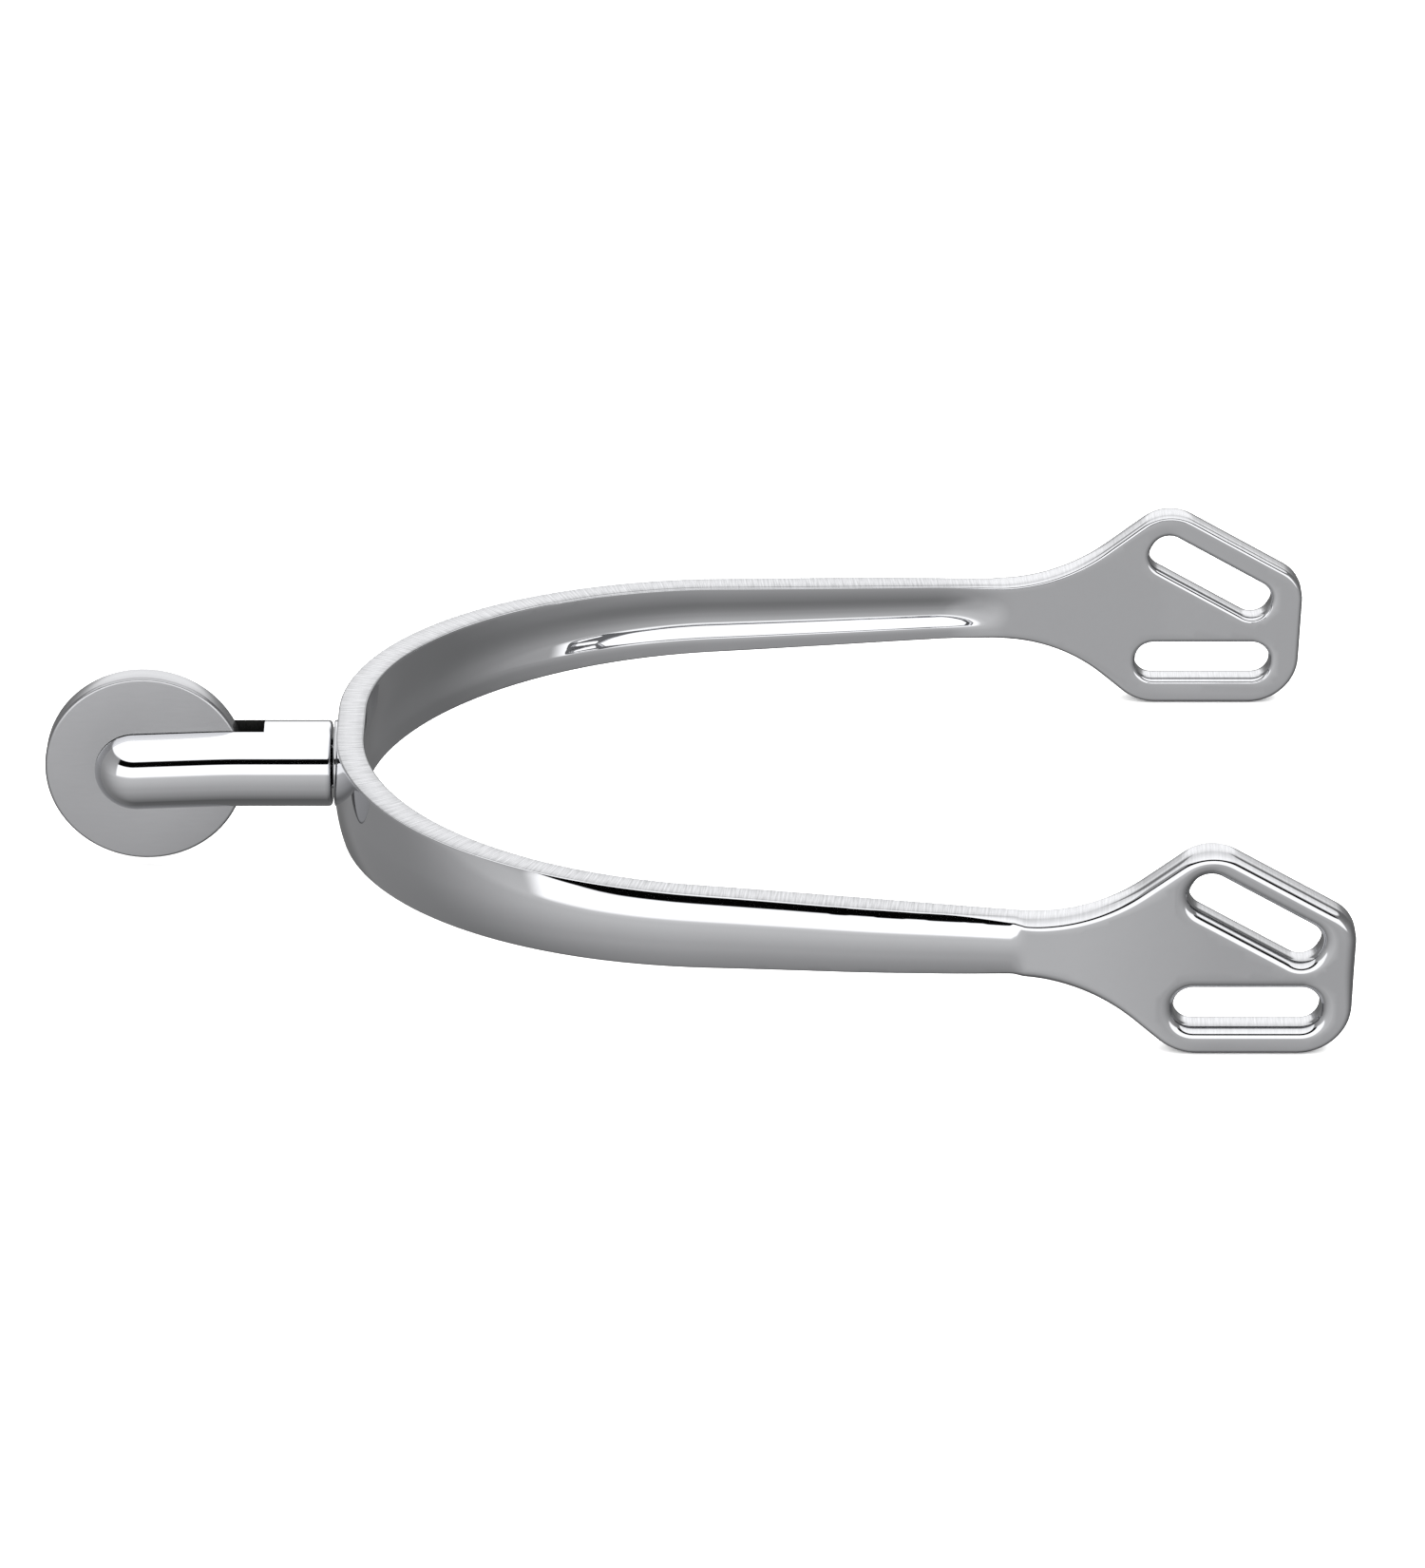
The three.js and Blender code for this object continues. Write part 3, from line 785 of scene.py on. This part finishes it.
def stud_mesh():
    """Rings along the stud whose radius follows one turn of thread for each pitch."""
    length = stud_high.x - stud_low.x
    angles = np.linspace(0, 2 * math.pi, STUD_SIDES, endpoint=False)
    vertices = [(0, 0, 0)]
    stations = np.linspace(0, length, round(length / THREAD_STEP) + 1)
    for along in stations:
        turn = (along / THREAD_PITCH - angles / (2 * math.pi)) % 1
        radius = stud_high.y - THREAD_DEPTH * np.abs(2 * turn - 1)
        from_end = min(along, length - along)
        radius = np.minimum(radius, stud_high.y - STUD_CHAMFER - THREAD_DEPTH / 2 + from_end)
        ring = (np.full(STUD_SIDES, along), radius * np.cos(angles), radius * np.sin(angles))
        vertices.extend(zip(*ring))
    vertices.append((length, 0, 0))
    faces = []
    last = len(vertices) - 1
    for i in range(STUD_SIDES):
        j = (i + 1) % STUD_SIDES
        faces.append((0, 1 + j, 1 + i))
        faces.append((last, last - STUD_SIDES + i, last - STUD_SIDES + j))
        for k in range(len(stations) - 1):
            row = 1 + k * STUD_SIDES
            faces.append((row + i, row + j, row + STUD_SIDES + j, row + STUD_SIDES + i))
    return (np.array(vertices) + (stud_low.x, 0, axis_z)) * MM, faces


stud = mesh_object("threaded_stud", *stud_mesh())
face_outwards(stud)
smooth(stud, THREAD_CREASE)
satin = satin_steel()
stud.data.materials.append(satin)
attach(stud, "spur")
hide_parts("neck_stud")

# --- Neck -----------------------------------------------------------------------------------------
# A turned bar, drilled for the stud and seated against the boss. Its nose is set down a little,
# rounded to a ball and sawn down the middle to make the fork that holds the rowel.
SEAT_EDGE = 0.4
NOSE_START = 10.45
NOSE_LENGTH = 13.6
NOSE_DROOP = math.radians(2.2)
NOSE_EASING = 2.5
NECK_SIDES = 192
NECK_STEP = 0.25
SEAT_EDGE_STEPS = 8
NOSE_STEPS = 39
AXIS_STEPS = 2000
FORK_SIDE_GAP = 0.15
FORK_END_GAP = 2.05
FORK_EDGE = 0.12
FORK_EDGE_DEGREES = 50
FORK_END_SHARE = 0.8
TOUCHING = 0.01
CHEEK_SKIN = 0.45
PIN_FIT_GAP = 0.05

rowel_low, rowel_high = (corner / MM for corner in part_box("rowel"))
pin_low, pin_high = (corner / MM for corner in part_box("rowel_pin"))
rowel_centre = Vector(frame["joints"][0]["pos_m"]) / MM
pin_radius = (pin_high.x - pin_low.x) / 2
fork_half = rowel_high.y + FORK_SIDE_GAP
fork_x = rowel_high.x + FORK_END_GAP


def neck_bar():
    """The bar before it is drilled and sawn, as rings round an axis that turns down at the nose."""
    length = NOSE_START + NOSE_LENGTH
    straight = np.arange(SEAT_EDGE, length - neck_radius, NECK_STEP)
    edge, ball = (
        np.linspace(0, math.pi / 2, steps, endpoint=False) for steps in (SEAT_EDGE_STEPS, NOSE_STEPS)
    )
    along = np.concatenate((
        SEAT_EDGE * (1 - np.cos(edge)), straight, length - neck_radius * (1 - np.sin(ball)),
    ))
    radius = np.concatenate((
        neck_radius - SEAT_EDGE * (1 - np.sin(edge)), np.full(len(straight), neck_radius),
        neck_radius * np.cos(ball),
    ))
    fine = np.linspace(0, length, AXIS_STEPS)
    down = NOSE_DROOP * eased(fine, NOSE_START - NOSE_EASING, NOSE_START + NOSE_EASING)
    step = fine[1] - fine[0]
    x = neck_high.x - np.concatenate(((0,), np.cumsum(np.cos(down[1:]) * step)))
    z = axis_z - np.concatenate(((0,), np.cumsum(np.sin(down[1:]) * step)))
    angles = np.linspace(0, 2 * math.pi, NECK_SIDES, endpoint=False)
    vertices = [(x[0], 0, z[0])]
    for place, size in zip(along, radius):
        cx, cz, tilt = (np.interp(place, fine, line) for line in (x, z, down))
        up = size * np.sin(angles)
        out = size * np.cos(angles)
        vertices.extend(zip(cx - up * math.sin(tilt), out, cz + up * math.cos(tilt)))
    vertices.append((x[-1], 0, z[-1]))
    faces, last, rings = [], len(vertices) - 1, len(along)
    for i in range(NECK_SIDES):
        j = (i + 1) % NECK_SIDES
        faces.append((0, 1 + i, 1 + j))
        faces.append((last, last - NECK_SIDES + j, last - NECK_SIDES + i))
        for k in range(rings - 1):
            row = 1 + k * NECK_SIDES
            faces.append((row + i, row + NECK_SIDES + i, row + NECK_SIDES + j, row + j))
    return np.array(vertices) * MM, faces


def sawn_steel_painted_shade():
    """The unpolished faces the saw left, painted near black: painted shade inside the fork's gap."""
    material = bpy.data.materials.new("sawn_steel_painted_shade")
    material.use_nodes = True
    tree = material.node_tree
    tree.nodes.clear()
    place = node(tree, "ShaderNodeTexCoord")["Object"]
    kerf = node(tree, "ShaderNodeMapping", None, place, Scale=(9000.0, 9000.0, 700.0))
    marks = node(tree, "ShaderNodeTexNoise", None, kerf, Scale=1.0, Detail=3.0, Roughness=0.6)
    dark_blotches = node(tree, "ShaderNodeTexNoise", None, place, Scale=900.0, Detail=3.0, Roughness=0.6)
    # Painted shade: a near-black colour with faint blotches, standing in for the shade inside the fork.
    shade = marks * 0.02 + dark_blotches * 0.02 + 0.005
    colour = node(tree, "ShaderNodeCombineColor", None, shade, shade, shade * 0.97)
    bump = node(tree, "ShaderNodeBump", None, Strength=1.0, Distance=0.00002, Height=marks)
    shader = node(
        tree, "ShaderNodeBsdfPrincipled", None,
        Base_Color=colour, Metallic=1.0, Roughness=marks * 0.3 + 0.4, Normal=bump,
    )
    node(tree, "ShaderNodeOutputMaterial", None, shader)
    return material


def ease_fork_edges(made):
    """Breaks the sharp edges that the saw left."""
    work = bmesh.new()
    work.from_mesh(made.data)
    sharp = []
    for edge in work.edges:
        if len(edge.link_faces) == 2 and edge.calc_face_angle() > math.radians(FORK_EDGE_DEGREES):
            middle = (edge.verts[0].co + edge.verts[1].co) / 2 / MM
            height = abs(middle.z - axis_z)
            on_cheek = middle.x < fork_x + TOUCHING and abs(middle.y) > fork_half - TOUCHING
            at_end = abs(middle.x - fork_x) < TOUCHING and height > neck_radius * FORK_END_SHARE
            if on_cheek or at_end:
                sharp.append(edge)
    bmesh.ops.bevel(
        work, geom=sharp, offset=FORK_EDGE * MM, segments=2, profile=0.5, affect="EDGES",
        clamp_overlap=True,
    )
    work.to_mesh(made.data)
    work.free()


neck = mesh_object("turned_neck", *neck_bar())
face_outwards(neck)
saw_reach = 2 * neck_radius
saw_cut = box_object(
    "saw_cut",
    (neck_low.x - CUT_PAST, -fork_half, axis_z - saw_reach),
    (fork_x, fork_half, axis_z + saw_reach),
)
sawn = sawn_steel_painted_shade()
for made in (neck, saw_cut):
    made.data.materials.append(polished)
    made.data.materials.append(sawn)
for face in saw_cut.data.polygons:
    face.material_index = 1
cut(neck, saw_cut)
neck_hole_depth = neck_high.x - stud_low.x + STUD_GAPS[1]
neck_hole = [
    (-neck_hole_depth, 0), (-neck_hole_depth, stud_hole_radius),
    (CUT_PAST, stud_hole_radius), (CUT_PAST, 0),
]
cut(neck, turned("hole", neck_hole, (neck_high.x, 0, axis_z), HOLE_SIDES))
cheek = neck_radius - CHEEK_SKIN
pin_hole_radius = pin_radius + PIN_FIT_GAP
pin_hole = [(-cheek, 0), (-cheek, pin_hole_radius), (cheek, pin_hole_radius), (cheek, 0)]
cut(neck, turned("hole", pin_hole, rowel_centre, HOLE_SIDES, cross=True))
ease_fork_edges(neck)
smooth(neck, CREASE)
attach(neck, "spur")
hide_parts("neck")

# --- Rowel pin ------------------------------------------------------------------------------------
# A plain steel pin pressed through both cheeks of the fork. Its ends are closed over and polished
# away with the neck, so it is only seen inside the fork.
PIN_CHAMFER = 0.2
PIN_END_GAP = 0.05
pin_end = cheek - PIN_END_GAP
half_pin = [(pin_end, 0), (pin_end, pin_radius - PIN_CHAMFER), (pin_end - PIN_CHAMFER, pin_radius)]
whole_pin = [(-along, radius) for along, radius in half_pin] + half_pin[::-1]
pin = turned("cross_pin", whole_pin, rowel_centre, HOLE_SIDES, cross=True)
smooth(pin, CREASE)
pin.data.materials.append(polished)
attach(pin, "spur")
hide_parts("rowel_pin")

# --- Rowel ----------------------------------------------------------------------------------------
# A smooth disc, stamped and turned from plate, with its rim rounded over and its sides left satin.
# It spins on the pin.
ROWEL_SIDES = 256
RIM_ROUNDING = 0.35
RIM_STEPS = 6
BORE_GAP = 0.1


def disc_tree():
    """Geometry nodes that turn a rounded section about the Y direction into a disc with a bore."""
    tree = bpy.data.node_groups.new("turn_disc", "GeometryNodeTree")
    sockets = {}
    for name, kind in (
        ("Rim radius", "Float"), ("Bore radius", "Float"), ("Thickness", "Float"),
        ("Edge radius", "Float"), ("Sides", "Int"), ("Centre", "Vector"), ("Material", "Material"),
    ):
        item = tree.interface.new_socket(name, in_out="INPUT", socket_type="NodeSocket" + kind)
        sockets[name] = item.identifier
    tree.interface.new_socket("Disc", in_out="OUTPUT", socket_type="NodeSocketGeometry")
    given = Value(tree, tree.nodes.new("NodeGroupInput").outputs[0])
    rim, bore = given["Rim radius"], given["Bore radius"]
    section = node(
        tree, "GeometryNodeCurvePrimitiveQuadrilateral", None, Width=rim - bore, Height=given["Thickness"]
    )
    section = node(
        tree, "GeometryNodeFilletCurve", {"mode": "POLY"}, section,
        Count=RIM_STEPS, Radius=given["Edge radius"], Limit_Radius=True,
    )
    circle = node(
        tree, "GeometryNodeCurvePrimitiveCircle", None,
        Resolution=given["Sides"], Radius=(rim + bore) * 0.5,
    )
    disc = node(tree, "GeometryNodeCurveToMesh", None, circle, section)
    placed = node(
        tree, "GeometryNodeTransform", None, disc,
        Translation=given["Centre"], Rotation=(math.pi / 2, 0, 0),
    )
    real = node(tree, "GeometryNodeRealizeInstances", None, placed)
    painted = node(tree, "GeometryNodeSetMaterial", None, real, Material=given["Material"])
    node(tree, "NodeGroupOutput", None, painted)
    return tree, sockets


disc = mesh_object("rowel_disc", np.zeros((0, 3)), [])
tree, sockets = disc_tree()
turning = disc.modifiers.new("turning", "NODES")
turning.node_group = tree
for name, value in (
    ("Rim radius", (rowel_high.z - rowel_low.z) / 2 * MM),
    ("Bore radius", (pin_radius + BORE_GAP) * MM),
    ("Thickness", (rowel_high.y - rowel_low.y) * MM),
    ("Edge radius", RIM_ROUNDING * MM),
    ("Sides", ROWEL_SIDES),
    ("Centre", rowel_centre * MM),
    ("Material", satin),
):
    turning[sockets[name]] = value
settle(disc)
face_outwards(disc)
smooth(disc, CREASE)
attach(disc, "rowel")
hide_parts("rowel")

# --- Studio ---------------------------------------------------------------------------------------
# A white tent with a dark gap above its front panel, over a pale floor. It isn't part of the spur.
# Each wall of the tent is a list of (elevation in degrees, the grey from 0 to 255 that steel shows
# when it reflects the wall there). A share list says how much a wall covers what is behind it.
REFLECTED = 0.66
WHITE = 1.06
FRONT = [
    (-90, 88), (-75.5, 118), (-68, 132), (-60, 141), (-49, 155), (-41, 159), (-29, 172), (-17, 184),
    (-12, 186), (-6.7, 200), (5, 190), (30, 150),
]
SIDE = [(-90, 80), (-65, 104), (-45, 116), (-26, 122), (-10, 131), (5, 142), (30, 140)]
BACK = [(-90, 85), (-60, 92), (-35, 96), (-10, 100), (2, 140), (9, 215), (12, 255), (90, 255)]
PANEL = [(-90, 215), (-6.7, 215), (-4, 255), (20.8, 255), (21.6, 3), (35, 3), (36, 255), (90, 255)]
PANEL_SHARE = [(-90, 0), (-7.5, 0), (-6.5, 1), (90, 1)]
TOP_SHARE = [(-90, 0), (35, 0), (38, 1), (90, 1)]
# Where the front and side walls get dimmer towards the right: from, to, and the light at each.
DIM_RIGHT = ((-0.08, 0.08, 1.0, 0.8), (0.2, 0.8, 1.0, 0.85))
# How far a direction has to face the camera's side for each wall: 1 is the front, -1 is the back.
FRONT_FACING = (-0.2, 1.0)
BACK_FACING = (-0.75, -0.95)
PANEL_FACING = (0.6, 0.68)
NO_ZERO = 1e-6
BACKDROP_LIGHT = 1.0
SOFT_LIGHT = 3.0
FLOOR_HALF_SIZE = 3.0
FLOOR_GREY = 0.8
FLOOR_GAP = 0.05


def brightness(grey):
    """A radiance that shows as that grey level in the steel, with white just over the top."""
    share = grey / 255
    linear = share / 12.92 if share < 0.04045 else ((share + 0.055) / 1.055) ** 2.4
    return (linear if grey < 250 else WHITE) / REFLECTED


def blended(tree, share, low, high):
    """Two colours mixed by a share."""
    mix = tree.nodes.new("ShaderNodeMix")
    mix.data_type = "RGBA"
    for place, value in ((0, share), (6, low), (7, high)):
        if isinstance(value, Value):
            tree.links.new(value.socket, mix.inputs[place])
        else:
            mix.inputs[place].default_value = value
    return Value(tree, mix.outputs[2])


def studio():
    """The tent as the steel reflects it, a white backdrop, and an even soft light on all the rest."""
    world = bpy.data.worlds.new("tent")
    bpy.context.scene.world = world
    world.use_nodes = True
    tree = world.node_tree
    tree.nodes.clear()

    def smooth_share(value, start, end):
        return node(tree, "ShaderNodeMapRange", {"interpolation_type": "SMOOTHSTEP"}, value, start, end)

    def ramp(stops):
        places = [((elevation + 90) / 180, value) for elevation, value in stops]
        return node(tree, "ShaderNodeValToRGB", {"stops": places}, level)

    direction = node(tree, "ShaderNodeSeparateXYZ", None, node(tree, "ShaderNodeTexCoord")["Generated"])
    level = direction["Z"].math("ARCSINE") * (1 / math.pi) + 0.5
    flat = (direction["X"] * direction["X"] + direction["Y"] * direction["Y"] + NO_ZERO).math("SQRT")
    facing = (direction["Y"] * -1).math("DIVIDE", flat)
    across_front = direction["X"].math("DIVIDE", flat)
    back, side, front, panel = (
        ramp([(elevation, brightness(grey)) for elevation, grey in wall])
        for wall in (BACK, SIDE, FRONT, PANEL)
    )
    in_panel, over_top = ramp(PANEL_SHARE), ramp(TOP_SHARE)
    dim, dimmer = (node(tree, "ShaderNodeMapRange", None, across_front, *span) for span in DIM_RIGHT)
    shade = blended(tree, smooth_share(facing, *FRONT_FACING), side, front)
    shade = node(tree, "ShaderNodeVectorMath", {"operation": "SCALE"}, shade, Scale=dim * dimmer)
    shade = blended(tree, over_top, shade, (brightness(255),) * 3 + (1,))
    shade = blended(tree, smooth_share(facing, *BACK_FACING), shade, back)
    shade = blended(tree, smooth_share(facing, *PANEL_FACING) * in_panel, shade, panel)
    light_path = node(tree, "ShaderNodeLightPath")
    reflected = node(tree, "ShaderNodeBackground", None, shade, 1.0)
    plain = node(tree, "ShaderNodeBackground", None, (1, 1, 1, 1), BACKDROP_LIGHT)
    soft = node(tree, "ShaderNodeBackground", None, (1, 1, 1, 1), SOFT_LIGHT)
    mixed = node(tree, "ShaderNodeMixShader", None, light_path["Is Glossy Ray"], soft, reflected)
    mixed = node(tree, "ShaderNodeMixShader", None, light_path["Is Camera Ray"], mixed, plain)
    node(tree, "ShaderNodeOutputWorld", None, mixed)


def pale_floor():
    """A matt sheet just under the spur, which the steel doesn't reflect."""
    half = FLOOR_HALF_SIZE
    corners = [(-half, -half, 0), (half, -half, 0), (half, half, 0), (-half, half, 0)]
    floor = mesh_object("floor", corners, [(0, 1, 2, 3)])
    material = bpy.data.materials.new("floor")
    material.use_nodes = True
    tree = material.node_tree
    tree.nodes.clear()
    shader = node(tree, "ShaderNodeBsdfDiffuse", None, (FLOOR_GREY, FLOOR_GREY, FLOOR_GREY, 1))
    node(tree, "ShaderNodeOutputMaterial", None, shader)
    floor.data.materials.append(material)
    floor.location.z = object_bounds()[0].z - FLOOR_GAP * MM
    floor.visible_glossy = False


studio()
pale_floor()

# --- Camera ---------------------------------------------------------------------------------------
# A long lens on the spur's right side, looking down on it.
CAMERA_ELEVATION = math.radians(25.86)
CAMERA_DISTANCE = 808.67 * MM
LENS, SENSOR = 185.0, 36.0
AIM = Vector((2.595, 0, 9.0)) * MM
lens = bpy.data.cameras.new("camera")
lens.lens = LENS
lens.sensor_width = SENSOR
camera = bpy.data.objects.new("camera", lens)
bpy.context.scene.collection.objects.link(camera)
back = Vector((0, -math.cos(CAMERA_ELEVATION), math.sin(CAMERA_ELEVATION)))
camera.location = AIM + back * CAMERA_DISTANCE
camera.rotation_euler = (math.pi / 2 - CAMERA_ELEVATION, 0, 0)
bpy.context.scene.camera = camera
bpy.context.scene.view_settings.view_transform = "Standard"
